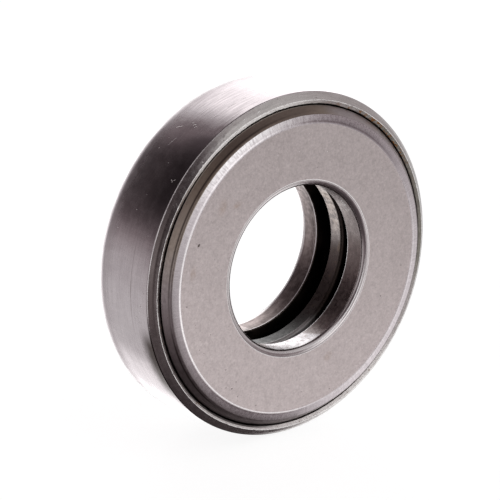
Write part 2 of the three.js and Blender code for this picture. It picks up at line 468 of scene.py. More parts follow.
def tone(n, base, *variations):
    """base darkened and lightened by pairs of (0-to-1 pattern, strength)."""
    brightness = 1.0
    for pattern, strength in variations:
        brightness = n.maths("ADD", brightness, n.times(n.maths("SUBTRACT", pattern, 0.5), strength))
    made = n.node("ShaderNodeVectorMath", operation="SCALE")
    n.link(base, made.inputs[0])
    n.link(brightness, made.inputs["Scale"])
    return made.outputs[0]


# In the materials below, n.radius and n.depth are in millimetres, and n.angle is in radians from
# the top, towards +X, from -pi to pi. Most stains, painted highlights and painted shade lie at one side.
DARK_PIT = (0.10, 0.075, 0.06)
BRIGHT_STEEL = (0.86, 0.82, 0.82)
RUST = (0.30, 0.14, 0.05)
STAIN = (0.40, 0.27, 0.18)
# The next colour, near black, paints shade on the rim under the band's lip and a dark line on its steep
# chamfer.
NEAR_BLACK = (0.06, 0.045, 0.04)
# The next colour paints the highlights along the lip's outer edge and the lip's glints.
HIGHLIGHT_WHITE = (0.95, 0.93, 0.92)
SCUFFED_WHITE = (0.95, 0.92, 0.92)

# Marks on the flat face: x, z, half length, half width, tilt
FACE_PITS = [
    (-18.85, 7.7, 0.30, 0.24, 60), (-21.1, -1.25, 0.13, 0.1, 0), (-12.8, -16.0, 0.16, 0.12, 20),
    (-13.9, -12.75, 0.12, 0.08, 60), (0.5, -19.7, 0.1, 0.08, 0), (6.0, -20.55, 0.14, 0.08, 30),
    (-8.25, -19.75, 0.1, 0.08, 0), (-11.7, -17.5, 0.12, 0.07, 40), (-18.0, -9.2, 0.1, 0.07, 10),
    (3.4, 15.1, 0.08, 0.06, 0), (-19.5, -4.4, 0.09, 0.06, 0),
]
FACE_GLINTS = [(5.3, 17.2, 0.11, 0.09, 0), (-0.05, 18.25, 0.1, 0.08, 0), (-16.9, -10.9, 0.09, 0.07, 0),
               (9.4, -13.8, 0.1, 0.07, 0)]
FACE_STAINS = [(5.6, -15.2, 1.3, 0.9, 30, 0.9), (-14.4, 12.6, 1.8, 1.0, 70, 0.9),
               (-11.7, 12.4, 1.2, 0.7, 20, 0.9), (-19.9, 3.6, 1.5, 0.8, 80, 0.9)]


def face_colour(n):
    base = n.mix(n.noise(0.16, 3.0), (0.575, 0.510, 0.505), (0.640, 0.570, 0.565))
    # Painted light: low makes the face lighter towards the bottom.
    low = n.ramp(n.maths("ADD", n.z, n.times(n.x, 0.35)), 22.0, -22.0)
    base = tone(n, base, (low, 0.22), (n.noise(3.6, 4.0, 0.7), 0.60), (n.noise(1.3, 4.0, 0.7), 0.34),
                (n.lines_around(n.radius, 3.0, 0.25), 0.06))
    patchy = n.ramp(n.noise(1.6), 0.3, 0.7, 0.10, 0.42)
    base = n.tint(base, STAIN, n.marks(n.plane(), FACE_STAINS), patchy)
    # Painted highlight: a faint light ring along the outer edge of the flat face.
    base = n.tint(base, BRIGHT_STEEL, n.ramp(n.radius, SHAFT_FACE_RADIUS - 0.25, SHAFT_FACE_RADIUS), 0.25)
    low_left = n.ramp(n.maths("ADD", n.x, n.z), 0.0, -26.0, 0.12, 0.6)
    pits = n.specks(1.0, 0.17, low_left)
    dust = n.specks(1.7, 0.15, 0.4)
    base = n.tint(base, DARK_PIT, n.most([pits, n.times(dust, 0.6)]), 0.6)
    base = n.tint(base, BRIGHT_STEEL, n.specks(1.2, 0.14, 0.3), 0.7)
    base = n.tint(base, BRIGHT_STEEL, n.marks(n.plane(), FACE_GLINTS))
    return n.tint(base, DARK_PIT, n.marks(n.plane(), FACE_PITS), 0.9)


def face_normal(n):
    grain = n.bump(n.noise(5.0, 4.0, 0.7), 0.006)
    turned = n.bump(n.lines_around(n.radius, 4.0, 0.15), 0.0012, grain)
    return n.bump(n.maths("SUBTRACT", 1.0, n.marks(n.plane(), FACE_PITS)), 0.08, turned)


FACE = steel("ground_face", face_colour, lambda n: n.ramp(n.noise(2.0, 4.0), 0.2, 0.8, 0.42, 0.56),
             face_normal)

# Marks on the chamfer: degrees from the top towards +X, radius, half length, half width, tilt
CHAMFER_NICKS = [(14.5, 22.9, 0.10, 0.22, 0), (-2.0, 22.9, 0.12, 0.1, 0), (-94.0, 23.2, 0.15, 0.08, 20)]


def chamfer_colour(n):
    base = n.mix(n.noise(0.5), (0.56, 0.505, 0.525), (0.66, 0.605, 0.625))
    brushed = n.lines_across(n.radius, 3.5, 0.6)
    base = tone(n, base, (brushed, 0.60), (n.noise(5.0, 4.0), 0.14))
    base = n.tint(base, DARK_PIT, n.specks(1.2, 0.1, 0.08), 0.5)
    # Painted highlight: a light line along the edge with the flat face, strongest at the left.
    crisp = n.times(n.near(n.radius, SHAFT_FACE_RADIUS, 0.25), n.ramp(n.angle, -0.8, -1.3, 0.1, 0.7))
    base = n.tint(base, (0.84, 0.80, 0.80), crisp)
    base = n.tint(base, BRIGHT_STEEL, n.marks(n.around(), CHAMFER_NICKS))
    # Painted shade: darker at the lower left, towards the outer edge.
    low_left = n.times(n.ramp(n.angle, -1.3, -1.7), n.ramp(n.radius, 22.8, 23.6))
    base = n.tint(base, (0.26, 0.235, 0.235), low_left, 0.55)
    # Painted shade: a little darker at the left.
    base = n.tint(base, (0.36, 0.33, 0.345), n.near(n.angle, -1.15, 0.6), 0.25)
    # Painted shade: darker at the upper right, towards the inner edge.
    upper_right = n.times(n.near(n.angle, 0.55, 0.6), n.ramp(n.radius, 23.3, 22.6))
    base = n.tint(base, (0.34, 0.31, 0.33), upper_right, 0.5)
    # Painted highlight: lighter at the upper left, along the brushed lines.
    upper_left = n.times(n.near(n.angle, -0.36, 0.7), n.ramp(n.radius, 22.3, 23.3, 0.3, 1.0))
    return n.tint(base, (0.92, 0.89, 0.90), upper_left, n.ramp(brushed, 0.3, 0.6, 0.35, 0.95))


def chamfer_roughness(n):
    ground = n.ramp(n.noise(3.0), 0.25, 0.75, 0.24, 0.36)
    return n.maths("SUBTRACT", ground, n.times(n.near(n.radius, SHAFT_FACE_RADIUS, 0.35), 0.14))


CHAMFER = steel("chamfer_steel", chamfer_colour, chamfer_roughness,
                lambda n: n.bump(n.noise(4.5, 3.0), 0.003, n.bump(n.lines_across(n.radius, 5.0, 0.8), 0.003)))


def rim_colour(n):
    """Brown at the upper left, grey elsewhere, with painted shade where it runs in under the band's lip."""
    brown = n.mix(n.noise(0.7), (0.34, 0.27, 0.215), (0.46, 0.385, 0.31))
    grey = n.mix(n.noise(1.5), (0.37, 0.325, 0.33), (0.50, 0.45, 0.455))
    tanned = n.maths("ADD", n.near(n.angle, -0.55, 1.1), n.times(n.noise(0.2, 2.0), 0.5))
    base = n.mix(n.ramp(tanned, 0.35, 0.85), grey, brown)
    # Painted light: lighter at the left.
    base = n.tint(base, (0.60, 0.54, 0.50), n.near(n.angle, -1.2, 0.4), 0.35)
    # Painted shade: dark at the top, a little to the left.
    base = n.tint(base, (0.15, 0.115, 0.10), n.near(n.angle, -0.25, 0.75), 0.9)
    base = tone(n, base, (n.lines_around(n.depth, 9.0, 0.5), 0.35), (n.noise(6.0, 4.0), 0.30))
    # Painted highlight: a light line where the steep chamfer meets the rim's cylinder.
    base = n.tint(base, (0.72, 0.67, 0.62), n.near(n.depth, STEEP_CHAMFER_DEPTH, 0.12), 0.45)
    # Painted shade: darker towards the bottom.
    base = n.tint(base, (0.20, 0.165, 0.165), n.ramp(n.from_top(), 1.7, 2.1), 0.45)
    # A dark line on the steep chamfer at the left, 0.66 mm deep.
    left = n.most([n.near(n.angle, -2.1, 0.5), n.near(n.angle, -0.9, 1.1)])
    base = n.tint(base, NEAR_BLACK, n.times(n.near(n.depth, 0.66, 0.16), left), 0.8)
    # Painted shade: near black from 1.5 mm deep at the left and from 1.8 mm deep all round, where the rim
    # runs in under the band's lip.
    base = n.tint(base, NEAR_BLACK, n.ramp(n.depth, 1.5, 1.75), n.near(n.angle, -1.5, 0.8))
    base = n.tint(base, NEAR_BLACK, n.ramp(n.depth, 1.8, 2.8))
    return n.tint(base, DARK_PIT, n.specks(2.0, 0.12, 0.2), 0.6)


RIM = steel("rim_steel", rim_colour, lambda n: n.ramp(n.noise(1.8), 0.25, 0.75, 0.30, 0.5),
            lambda n: n.bump(n.noise(5.0, 4.0), 0.01, n.bump(n.lines_around(n.depth, 8.0, 0.3), 0.004)))

ENTRY_LINE = SHAFT_BORE + 0.38


def entry_highlight(n):
    """A thin painted highlight line around the lower right of the rounded bore entry, fainter elsewhere."""
    around = n.times(n.ramp(n.from_top(), 1.5, 2.0), n.ramp(n.angle, 3.0, 2.75, 0.25, 1.0))
    right = n.ramp(n.angle, 0.0, 0.1, 0.25, 1.0)
    return n.times(n.near(n.radius, ENTRY_LINE, 0.11), n.times(around, right))


def face_line(n):
    """A painted highlight along the crisp edge where the rounded entry meets the flat face."""
    return n.near(n.radius, SHAFT_BORE + ENTRY_WIDTH - 0.03, 0.05)


def entry_colour(n):
    base = n.mix(n.noise(0.6), (0.56, 0.515, 0.52), (0.64, 0.595, 0.60))
    base = tone(n, base, (n.lines_around(n.depth, 7.0, 0.3), 0.16), (n.noise(5.0, 4.0), 0.16))
    base = n.tint(base, DARK_PIT, n.specks(1.6, 0.1, 0.16), 0.6)
    # Painted shade: a thin dark line just inside the edge with the flat face.
    base = n.tint(base, (0.20, 0.17, 0.17), n.near(n.radius, ENTRY_LINE + 0.48, 0.07), 0.7)
    # Painted highlight along the edge with the flat face.
    base = n.tint(base, (0.90, 0.87, 0.87), face_line(n))
    # Painted highlight: the thin white line around the lower right of the entry.
    return n.tint(base, (0.98, 0.96, 0.96), entry_highlight(n))


ENTRY = steel("entry_steel", entry_colour, lambda n: n.ramp(n.noise(1.2), 0.3, 0.7, 0.15, 0.24),
              lambda n: n.bump(n.lines_around(n.depth, 9.0, 0.3), 0.0015, n.bump(n.noise(2.5), 0.003)),
              lambda n: n.maths("SUBTRACT", 1.0, n.most([entry_highlight(n), n.times(face_line(n), 0.6)])))


def bore_colour(n):
    base = n.mix(n.noise(0.35), (0.42, 0.37, 0.36), (0.56, 0.50, 0.49))
    shaded = n.times(n.ramp(n.angle, 1.2, 1.6), n.ramp(n.angle, 2.75, 2.6))
    base = n.tint(base, (0.16, 0.115, 0.11), shaded, 0.75)
    scraped = n.ramp(n.maths("ADD", n.from_top(), n.times(n.depth, -0.03)), 2.70, 2.75)
    base = n.tint(base, (0.90, 0.86, 0.88), scraped, n.ramp(n.noise(1.5, 3.0), 0.3, 0.5))
    shards = n.times(n.near(n.angle, 0.8, 0.4), n.ramp(n.noise(1.8, 4.0, 0.7), 0.54, 0.60))
    base = n.tint(base, SCUFFED_WHITE, shards, n.near(n.depth, 1.8, 1.2))
    # Painted highlight: a white line along the bore's rear edge, over the lower right.
    rear_edge = n.ramp(n.depth, SHAFT_BACK - 0.3, SHAFT_BACK - 0.1)
    base = n.tint(base, (0.96, 0.94, 0.94), rear_edge, n.ramp(n.angle, 1.2, 1.6))
    mottled = n.ramp(n.noise(2.0, 5.0, 0.7), 0.38, 0.62)
    base = tone(n, base, (n.lines_around(n.depth, 6.0, 0.35), 0.30), (mottled, 0.30))
    base = n.tint(base, DARK_PIT, n.specks(1.3, 0.16, 0.22), 0.7)
    return n.tint(base, BRIGHT_STEEL, n.specks(1.1, 0.14, 0.15), 0.6)


BORE = steel("bore_steel", bore_colour, lambda n: n.ramp(n.noise(1.0), 0.3, 0.7, 0.24, 0.38),
             lambda n: n.bump(n.lines_around(n.depth, 7.0, 0.3), 0.004, n.bump(n.noise(1.6, 3.0), 0.012)))


def front_edge(n):
    """A painted highlight along the front edge of the housing washer's bore, at its lower right."""
    return n.times(n.near(n.depth, HOUSING_FRONT + 0.26, 0.14), n.ramp(n.angle, 0.9, 1.4))


def rear_bore_colour(n):
    base = n.mix(n.noise(0.4), (0.38, 0.32, 0.31), (0.52, 0.45, 0.44))
    drawn = n.ramp(n.lines_around(n.depth, 3.0, 0.12), 0.35, 0.65)
    mottled = n.ramp(n.noise(1.3, 5.0, 0.7), 0.38, 0.62)
    # Painted shade: the last tone makes the bore darker towards its front, deeper in between the washers.
    base = tone(n, base, (drawn, 0.25), (mottled, 0.50), (n.ramp(n.depth, 12.0, 13.4), 0.5))
    # Painted shade: darker towards the lower right.
    base = n.tint(base, (0.14, 0.10, 0.095), n.ramp(n.angle, 1.0, 1.9), 0.55)
    scuffed = n.times(n.near(n.depth, 14.5, 0.9), n.near(n.angle, 0.75, 0.6))
    base = n.tint(base, SCUFFED_WHITE, scuffed, n.ramp(n.noise(2.2, 4.0), 0.45, 0.6))
    # Painted highlight along the front edge, at the lower right.
    base = n.tint(base, (0.92, 0.86, 0.87), front_edge(n))
    base = n.tint(base, BRIGHT_STEEL, n.specks(1.4, 0.16, 0.3), 0.6)
    return n.tint(base, DARK_PIT, n.specks(1.1, 0.18, 0.3), 0.7)


REAR_BORE = steel("rear_bore_steel", rear_bore_colour, lambda n: n.ramp(n.noise(1.0), 0.3, 0.7, 0.28, 0.42),
                  lambda n: n.bump(n.lines_around(n.depth, 6.0, 0.3), 0.006,
                                   n.bump(n.noise(1.8, 4.0), 0.022)),
                  lambda n: n.ramp(front_edge(n), 0.0, 1.0, 1.0, 0.4))


def ball_track(n):
    """1 along the line where the balls roll."""
    return n.near(n.radius, PITCH_RADIUS, 1.3)


# Painted shade: the raceways are coloured dark for the shade they lie in between the washers; the ball track
# is a little lighter.
def raceway_colour(n):
    base = n.mix(ball_track(n), (0.12, 0.10, 0.095), (0.20, 0.175, 0.165))
    return tone(n, base, (n.lines_around(n.radius, 8.0, 0.2), 0.18), (n.noise(2.0, 3.0), 0.10))


RACEWAY = steel("raceway_steel", raceway_colour, lambda n: n.ramp(ball_track(n), 0.0, 1.0, 0.16, 0.09),
                lambda n: n.bump(n.lines_around(n.radius, 10.0, 0.2), 0.001))


# Painted shade: near-black steel for the faces that the two washers turn towards each other, which lie in
# shade.
def interior_shade_colour(n):
    base = n.mix(n.noise(0.8, 3.0), (0.045, 0.035, 0.03), (0.10, 0.08, 0.07))
    return tone(n, base, (n.lines_around(n.radius, 5.0, 0.3), 0.4), (n.noise(3.0, 4.0), 0.4))


INTERIOR_SHADE = steel("interior_shade_steel", interior_shade_colour, lambda n: n.ramp(n.noise(1.0), 0.3, 0.7, 0.3, 0.5),
                lambda n: n.bump(n.noise(1.5, 3.0), 0.012))

# Marks on the band's wall: arc length, depth, half length, half width, tilt. Arc length is
# measured in millimetres from the top, towards +X.
WALL_ARC = BAND_RADIUS * math.pi / 180
WALL_SCRATCHES = [
    (-50.4 * WALL_ARC, 4.25, 0.22, 0.06, 70), (-50.7 * WALL_ARC, 3.95, 0.24, 0.06, 10),
    (-50.0 * WALL_ARC, 3.7, 0.26, 0.05, -40),
    (-32.9 * WALL_ARC, 10.5, 0.35, 0.06, -40), (-32.2 * WALL_ARC, 10.0, 0.40, 0.05, -35),
    (-30.0 * WALL_ARC, 8.0, 0.40, 0.05, -60), (-30.6 * WALL_ARC, 7.5, 0.30, 0.05, -40),
    (-29.4 * WALL_ARC, 8.6, 0.25, 0.05, -70),
    (-38.2 * WALL_ARC, 9.2, 1.05, 0.02, -15), (-42.0 * WALL_ARC, 10.7, 0.09, 0.08, 0),
    (-45.5 * WALL_ARC, 6.9, 0.07, 0.06, 0), (-92.1 * WALL_ARC, 3.9, 0.45, 0.05, 60),
    (-94.0 * WALL_ARC, 4.4, 0.35, 0.05, 40), (-96.5 * WALL_ARC, 5.0, 0.50, 0.05, 75),
    (-98.0 * WALL_ARC, 4.5, 0.50, 0.05, 80), (-63.0 * WALL_ARC, 8.4, 0.08, 0.07, 0),
    (-70.5 * WALL_ARC, 11.2, 0.09, 0.07, 0),
]
WALL_GOUGES = [(-17.1 * WALL_ARC, 6.25, 0.95, 0.06, -4), (-24.4 * WALL_ARC, 6.25, 0.75, 0.06, -11),
               (-12.0 * WALL_ARC, 6.3, 0.6, 0.05, -4), (-75.0 * WALL_ARC, 5.2, 0.1, 0.1, 0)]


def wall_place(n):
    return n.vector(n.times(n.angle, BAND_RADIUS), n.depth)


def crease_highlight(n):
    """A broken painted highlight line along the crease between wall and lip, at the upper left."""
    along = n.times(n.ramp(n.angle, -1.85, -1.6), n.ramp(n.angle, 0.1, -0.15))
    line = n.times(n.near(n.depth, 2.35, 0.15), along)
    return n.times(line, n.ramp(n.noise(1.0, 3.0), 0.25, 0.55, 0.25, 0.85))


def wall_colour(n):
    base = n.mix(n.noise(0.22), (0.52, 0.465, 0.485), (0.62, 0.56, 0.575))
    base = tone(n, base, (n.lines_around(n.depth, 3.5, 0.20), 0.30),
                (n.lines_across(n.depth, 1.6, 0.15), 0.12),
                (n.noise(4.0, 4.0, 0.65), 0.34), (n.noise(1.2, 4.0, 0.7), 0.22))
    line = n.times(n.near(n.depth, WALL_LINE, 0.16), n.near(n.angle, -1.52, 0.3))
    base = n.tint(base, (0.20, 0.16, 0.16), line, n.ramp(n.noise(0.5), 0.35, 0.6, 0.2, 0.6))
    # Painted shade: dark next to the crease, at the lower left and the bottom.
    crease = n.ramp(n.maths("ADD", n.depth, n.times(n.noise(1.5), 0.3)), 2.95, 2.55)
    base = n.tint(base, (0.10, 0.085, 0.08), n.times(crease, n.ramp(n.angle, -1.6, -1.8)), 0.85)
    # Painted shade: darker out to a few millimetres behind the crease, at the lower left and the bottom.
    crease_shade = n.ramp(n.maths("ADD", n.depth, n.times(n.noise(1.0), 0.8)), 6.0, 3.6)
    left = n.times(n.ramp(n.angle, -1.72, -1.86), n.ramp(n.angle, -2.3, -2.1))
    base = n.tint(base, (0.07, 0.05, 0.045), crease_shade, n.most([left, n.ramp(n.angle, -2.3, -2.5)]))
    # Painted shade: darker around the rounded back corner.
    base = n.tint(base, (0.22, 0.19, 0.20), n.near(n.depth, 13.5, 0.9), 0.5)
    base = n.tint(base, (0.30, 0.26, 0.28), n.ramp(n.depth, 13.2, 13.8), 0.3)
    base = n.tint(base, DARK_PIT, n.specks(0.9, 0.14, 0.22), 0.6)
    base = n.tint(base, BRIGHT_STEEL, n.specks(0.8, 0.12, 0.2), 0.6)
    base = n.tint(base, (0.22, 0.17, 0.17), n.marks(wall_place(n), WALL_GOUGES), 0.75)
    swept = n.maths("ADD", n.angle, n.times(n.depth, 0.012))
    shadowed = n.times(n.ramp(swept, -0.48, -0.56), n.ramp(n.angle, -1.25, -0.95))
    base = n.tint(base, (0.15, 0.13, 0.14), n.times(shadowed, n.ramp(n.depth, 9.5, 3.5)), 0.75)
    # Painted light: lighter at the upper left, towards the back.
    upper = n.times(n.near(n.angle, -0.78, 0.5), n.ramp(n.depth, 8.5, 11.0))
    base = n.tint(base, (0.85, 0.80, 0.82), upper, 0.4)
    streaks = n.ramp(n.lines_around(n.depth, 4.0, 0.25), 0.35, 0.65, 0.2, 1.0)
    base = n.tint(base, (0.30, 0.26, 0.27), n.times(n.near(n.angle, -0.30, 0.22), streaks), 0.55)
    # Painted highlight: a broken bright line along the crease at the upper left.
    base = n.tint(base, (0.95, 0.93, 0.93), crease_highlight(n))
    return n.tint(base, (0.95, 0.92, 0.90), n.marks(wall_place(n), WALL_SCRATCHES))


def wall_roughness(n):
    satin = n.ramp(n.noise(0.6, 4.0), 0.3, 0.7, 0.14, 0.22)
    satin = n.maths("ADD", satin, n.ramp(n.depth, 10.5, 13.0, 0.0, 0.16))
    scratched = n.most([n.marks(wall_place(n), WALL_SCRATCHES), n.times(n.specks(0.8, 0.12, 0.2), 0.6)])
    return n.maths("ADD", satin, n.times(scratched, 0.5))


def wall_normal(n):
    drawn = n.bump(n.lines_across(n.depth, 2.2, 0.12), 0.003)
    rolled = n.bump(n.lines_around(n.depth, 3.5, 0.08), 0.003, drawn)
    dents = n.bump(n.noise(0.9, 3.0), 0.004, rolled)
    return n.bump(n.marks(wall_place(n), WALL_SCRATCHES + WALL_GOUGES), 0.02, dents)


WALL = steel("band_wall", wall_colour, wall_roughness, wall_normal,
             lambda n: n.ramp(crease_highlight(n), 0.0, 1.0, 1.0, 0.4))

# Marks on the band's lip: degrees from the top towards +X, radius, half length, half width, tilt
LIP_GLINTS = [(-41.4, 25.5, 0.5, 0.12, 0), (-43.2, 25.5, 0.8, 0.09, 0), (-40.5, 25.75, 0.25, 0.1, 0),
              (-56.8, 25.75, 0.6, 0.05, 20), (-57.6, 25.95, 0.5, 0.05, 20), (-53.0, 25.9, 0.12, 0.06, 0),
              (-158.0, 25.8, 0.25, 0.12, 0), (-20.0, 26.0, 0.6, 0.05, 5), (-14.0, 25.9, 0.8, 0.05, 4)]
LIP_BLOTCHES = [(-33.5, 25.9, 1.6, 0.35, 0, 0.9), (-36.0, 25.7, 0.9, 0.3, 0, 0.9),
                (-29.5, 26.0, 1.1, 0.25, 0, 0.9), (-66.0, 25.8, 0.8, 0.3, 0, 0.9)]


def lip_edge_highlight(n):
    """A thin broken painted highlight along the lip's outer cut edge."""
    return n.times(n.near(n.radius, LIP_EDGE[0] - 0.02, 0.09), n.ramp(n.noise(1.2, 3.0), 0.25, 0.5))


def lip_colour(n):
    base = n.mix(n.noise(0.3), (0.50, 0.465, 0.455), (0.62, 0.585, 0.575))
    base = tone(n, base, (n.lines_around(n.radius, 6.0, 0.3), 0.60), (n.noise(4.5, 4.0, 0.7), 0.50))
    blotch = n.times(n.marks(n.around(), LIP_BLOTCHES), n.ramp(n.noise(2.2, 4.0), 0.4, 0.6))
    base = n.tint(base, (0.14, 0.12, 0.12), blotch, 0.8)
    base = n.tint(base, DARK_PIT, n.specks(1.6, 0.14, 0.3), 0.6)
    base = n.tint(base, BRIGHT_STEEL, n.specks(1.3, 0.11, 0.3), 0.8)
    # Painted shade: darker at the upper left, and a little darker at the right.
    base = n.tint(base, (0.20, 0.18, 0.185), n.near(n.angle, -0.88, 0.5), 0.7)
    base = n.tint(base, (0.34, 0.33, 0.33), n.near(n.angle, 1.5, 0.8), 0.35)
    brown = n.times(n.near(n.angle, -1.4, 0.6), n.ramp(n.radius, 25.6, 25.95))
    base = n.tint(base, (0.20, 0.165, 0.16), brown, 0.75)
    # Painted highlight along the lip's outer cut edge.
    base = n.tint(base, HIGHLIGHT_WHITE, lip_edge_highlight(n))
    return n.tint(base, HIGHLIGHT_WHITE, n.marks(n.around(), LIP_GLINTS))


LIP = steel("band_lip", lip_colour, lambda n: n.ramp(n.noise(1.5, 4.0), 0.3, 0.7, 0.20, 0.34),
            lambda n: n.bump(n.noise(2.6, 4.0, 0.65), 0.010,
                             n.bump(n.lines_around(n.radius, 5.0, 0.4), 0.006)),
            lambda n: n.ramp(lip_edge_highlight(n), 0.0, 1.0, 1.0, 0.4))


def cut_colour(n):
    """The sheared edge of the band: torn, with painted highlights at the top and bottom and painted shade at
    the left and right, rusty at the upper right.
    """
    base = n.mix(n.noise(0.6), (0.44, 0.40, 0.39), (0.60, 0.56, 0.55))
    base = tone(n, base, (n.noise(3.5, 4.0, 0.75), 0.70), (n.lines_across(n.depth, 3.0, 0.5), 0.30))
    # Painted highlight: near white at the top and, fainter, at the bottom.
    bright = n.most([n.near(n.angle, -0.4, 0.75), n.times(n.ramp(n.from_top(), 2.05, 2.55), 0.6)])
    base = n.tint(base, (0.97, 0.94, 0.92), bright, 0.9)
    # Painted shade: darker at the left, and near black along the inner part of the cut there.
    base = n.tint(base, (0.20, 0.17, 0.165), n.near(n.angle, -1.75, 0.8), 0.7)
    left = n.times(n.ramp(n.angle, -0.85, -1.1), n.ramp(n.angle, -3.1, -2.8))
    inner_cut_shade = n.times(n.ramp(n.radius, LIP_CUT[0] + 0.3, LIP_CUT[0] + 0.2), left)
    base = n.tint(base, (0.05, 0.04, 0.04), inner_cut_shade, 0.9)
    # Painted shade: darker at the right.
    right = n.times(n.ramp(n.angle, 0.3, 0.8), n.ramp(n.angle, 2.0, 1.7))
    base = n.tint(base, (0.24, 0.23, 0.19), right, 0.75)
    base = n.tint(base, RUST, n.ramp(n.noise(1.3, 4.0, 0.7), 0.52, 0.62), n.near(n.angle, 0.75, 0.6))
    return n.tint(base, (0.22, 0.15, 0.10), n.ramp(n.noise(1.0, 4.0, 0.7), 0.6, 0.68), 0.6)


CUT = steel("band_cut", cut_colour, lambda n: n.ramp(n.noise(2.5, 4.0), 0.3, 0.7, 0.30, 0.5),
            lambda n: n.bump(n.noise(2.8, 4.0, 0.75), 0.06, n.bump(n.lines_across(n.depth, 3.0, 0.5), 0.03)),
            lambda n: n.ramp(n.near(n.angle, -0.35, 0.7), 0.0, 1.0, 1.0, 0.1))


def inside_colour(n):
    base = n.mix(n.noise(0.6), (0.26, 0.235, 0.22), (0.36, 0.33, 0.31))
    return tone(n, base, (n.noise(3.0, 4.0), 0.4), (n.lines_around(n.depth, 4.0, 0.2), 0.2))


INSIDE = steel("band_inside", inside_colour, lambda n: n.ramp(n.noise(1.2), 0.3, 0.7, 0.4, 0.6),
               lambda n: n.bump(n.noise(3.0, 4.0), 0.012))


def pocket_edge(n):
    """1 along the rims of the cage's pockets, worn bright by the balls."""
    pitch = 2 * math.pi / len(BALLS)
    shifted = n.maths("FLOORED_MODULO", n.maths("ADD", n.angle, pitch / 2), pitch)
    turn = n.maths("SUBTRACT", shifted, pitch / 2)
    sideways = n.times(n.radius, n.maths("SINE", turn))
    outward = n.maths("SUBTRACT", n.times(n.radius, n.maths("COSINE", turn)), PITCH_RADIUS)
    squares = n.maths("ADD", n.times(sideways, sideways), n.times(outward, outward))
    return n.ramp(n.maths("SQRT", squares), POCKET_RADIUS, POCKET_RADIUS + 0.22, 1.0, 0.0)


def cage_low(n, below=0.0, above=1.0):
    """The lowest stretch of the cage, made near black and less metallic."""
    return n.ramp(n.from_top(), 2.3, 2.6, below, above)


def cage_colour(n):
    base = n.mix(n.noise(0.4), (0.40, 0.36, 0.35), (0.52, 0.475, 0.46))
    # Darker over the lower right and the bottom.
    darker_lower_right = n.most([n.ramp(n.angle, 1.45, 1.75), n.ramp(n.angle, -2.9, -3.0)])
    base = n.tint(base, (0.10, 0.075, 0.07), darker_lower_right, 0.9)
    # Painted highlight: a light patch at the upper right.
    cage_highlight = n.times(n.near(n.angle, 1.15, 0.5), n.ramp(n.noise(1.2, 3.0), 0.35, 0.55))
    base = n.tint(base, (0.92, 0.82, 0.76), cage_highlight, 0.9)
    base = tone(n, base, (n.noise(4.0, 4.0, 0.7), 0.35), (n.lines_around(n.depth, 5.0, 0.25), 0.18))
    base = n.tint(base, (0.28, 0.20, 0.13), n.ramp(n.noise(0.5, 3.0), 0.55, 0.7), 0.35)
    # Painted shade: near black everywhere but on the inner face of the inner flange.
    shaded_web = n.most([n.ramp(n.radius, CAGE_INNER + 0.1, CAGE_INNER + 0.4),
                     n.ramp(n.depth, CAGE_FRONT + 0.75, CAGE_FRONT + 0.5)])
    base = n.tint(base, (0.05, 0.04, 0.035), shaded_web, 0.92)
    base = n.tint(base, (0.03, 0.022, 0.02), cage_low(n))
    glinting = n.times(n.ramp(n.from_top(), 2.45, 2.75), shaded_web)
    base = n.tint(base, (0.80, 0.77, 0.77), glinting, 0.7)
    base = n.tint(base, DARK_PIT, n.specks(1.2, 0.15, 0.25), 0.6)
    return n.tint(base, BRIGHT_STEEL, pocket_edge(n), 0.6)


CAGE = steel("cage_steel", cage_colour, lambda n: n.ramp(n.noise(1.5, 4.0), 0.3, 0.7, 0.24, 0.40),
             lambda n: n.bump(n.noise(2.4, 4.0), 0.012, n.bump(n.lines_around(n.depth, 6.0, 0.25), 0.003)),
             lambda n: cage_low(n, 1.0, 0.2))


# Painted shade: the balls are coloured dark for the shade they lie in between the washers.
def ball_colour(n):
    base = n.mix(n.noise(0.5), (0.14, 0.12, 0.11), (0.20, 0.175, 0.165))
    return n.tint(base, (0.35, 0.33, 0.32), n.specks(0.9, 0.07, 0.2), 0.5)


BALL = steel("ball_steel", ball_colour, lambda n: n.ramp(n.noise(0.8, 4.0), 0.35, 0.7, 0.14, 0.26),
             lambda n: n.bump(n.noise(3.0, 4.0), 0.0006))

# ---------------------------------------------------------------------------------------------
# Pieces
# ---------------------------------------------------------------------------------------------
SEGMENTS = 720
POCKET_SEGMENTS = 96
SHARP_ANGLE = math.radians(35)
BALL_CUTS = 19  # cuts across each face of the cube that a ball is blown up from
LIP_REACH = 2.2  # depth down to which the lip's sheared edge is ragged

points, zones = rounded(shaft_washer_profile())
shaft_ring = turned("shaft_washer_ring", points, zones, {
    "face": FACE, "chamfer": CHAMFER, "rim": RIM, "entry": ENTRY, "bore": BORE,
    "raceway": RACEWAY, "ground": INTERIOR_SHADE}, SEGMENTS)
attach(shaft_ring, "shaft")
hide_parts("shaft_washer")

points, zones = rounded(housing_washer_profile())
housing_ring = turned("housing_washer_ring", points, zones, {
    "face": FACE, "chamfer": CHAMFER, "rim": RIM, "entry": ENTRY, "bore": REAR_BORE,
    "ground": INTERIOR_SHADE, "raceway": RACEWAY}, SEGMENTS)
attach(housing_ring, "housing")
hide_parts("housing_washer")


def burred(radius, depth, angle):
    """The sheared edge of the lip, ragged by a few hundredths of a millimetre."""
    if depth > LIP_REACH:
        return radius, depth
    around = Vector((math.sin(angle), math.cos(angle), 0)) * LIP_CUT[0]
    coarse = noise.noise(around * 0.35)
    fine = noise.noise(around * 1.7)
    share = min(1, max(0, (LIP_EDGE[0] + 0.25 - radius) / 0.3))
    ragged = share * (0.05 * coarse + 0.04 * fine)
    return radius + ragged, depth + 0.5 * ragged


points, zones = rounded(band_profile(), 6)
band_ring = turned("band_shell", points, zones, {
    "wall": WALL, "lip": LIP, "cut": CUT, "inside": INSIDE}, SEGMENTS, burred)
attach(band_ring, "housing")
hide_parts("shell_band")


